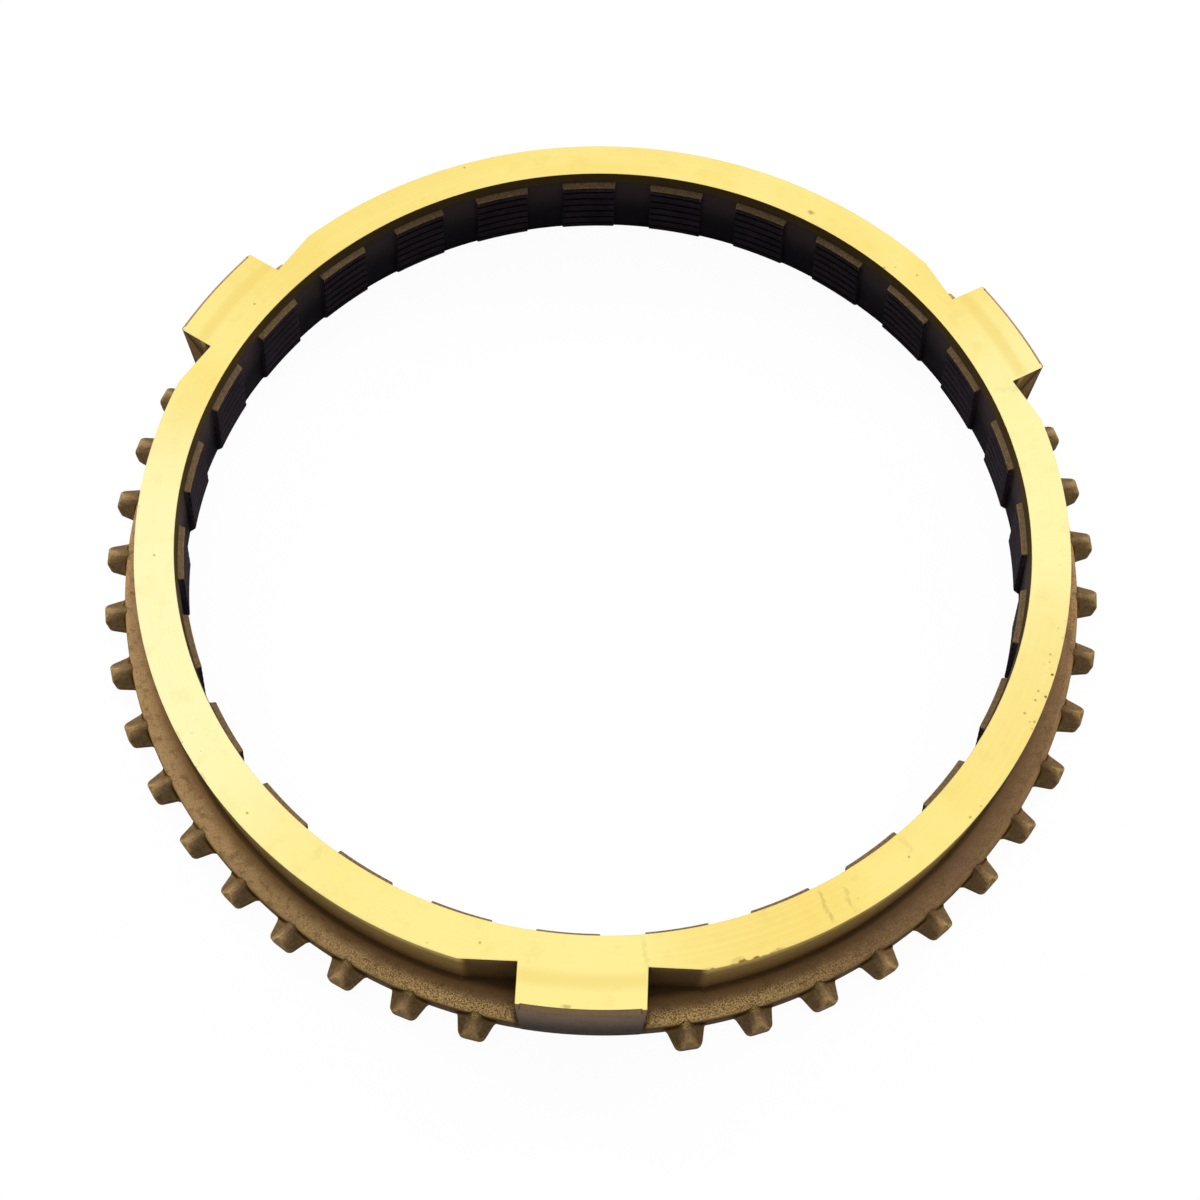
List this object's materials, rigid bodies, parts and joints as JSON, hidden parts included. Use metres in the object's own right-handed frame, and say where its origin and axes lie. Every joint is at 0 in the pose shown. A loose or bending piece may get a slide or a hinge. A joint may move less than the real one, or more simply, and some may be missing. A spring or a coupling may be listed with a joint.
{
  "type": "synchronizer ring",
  "caption": "Brass baulk ring with a turned collar, roof-shaped spline teeth on its flange, drive lugs and a tapered bore with grooved friction pads.",
  "frame": {"origin": "on the axis of the ring, in its flat back face (the gear side)", "axes": "+Z along the axis from the back face to the top face (the hub side), -Y through the middle of one lug"},
  "size_m": [0.111, 0.1102, 0.0116],
  "materials": {
    "brass": "satin turned top face, brown oxide on the forged outside, oil-blackened friction cone"
  },
  "bodies": {
    "root": {"synchronizer_ring": "brass"}
  },
  "joints": []
}
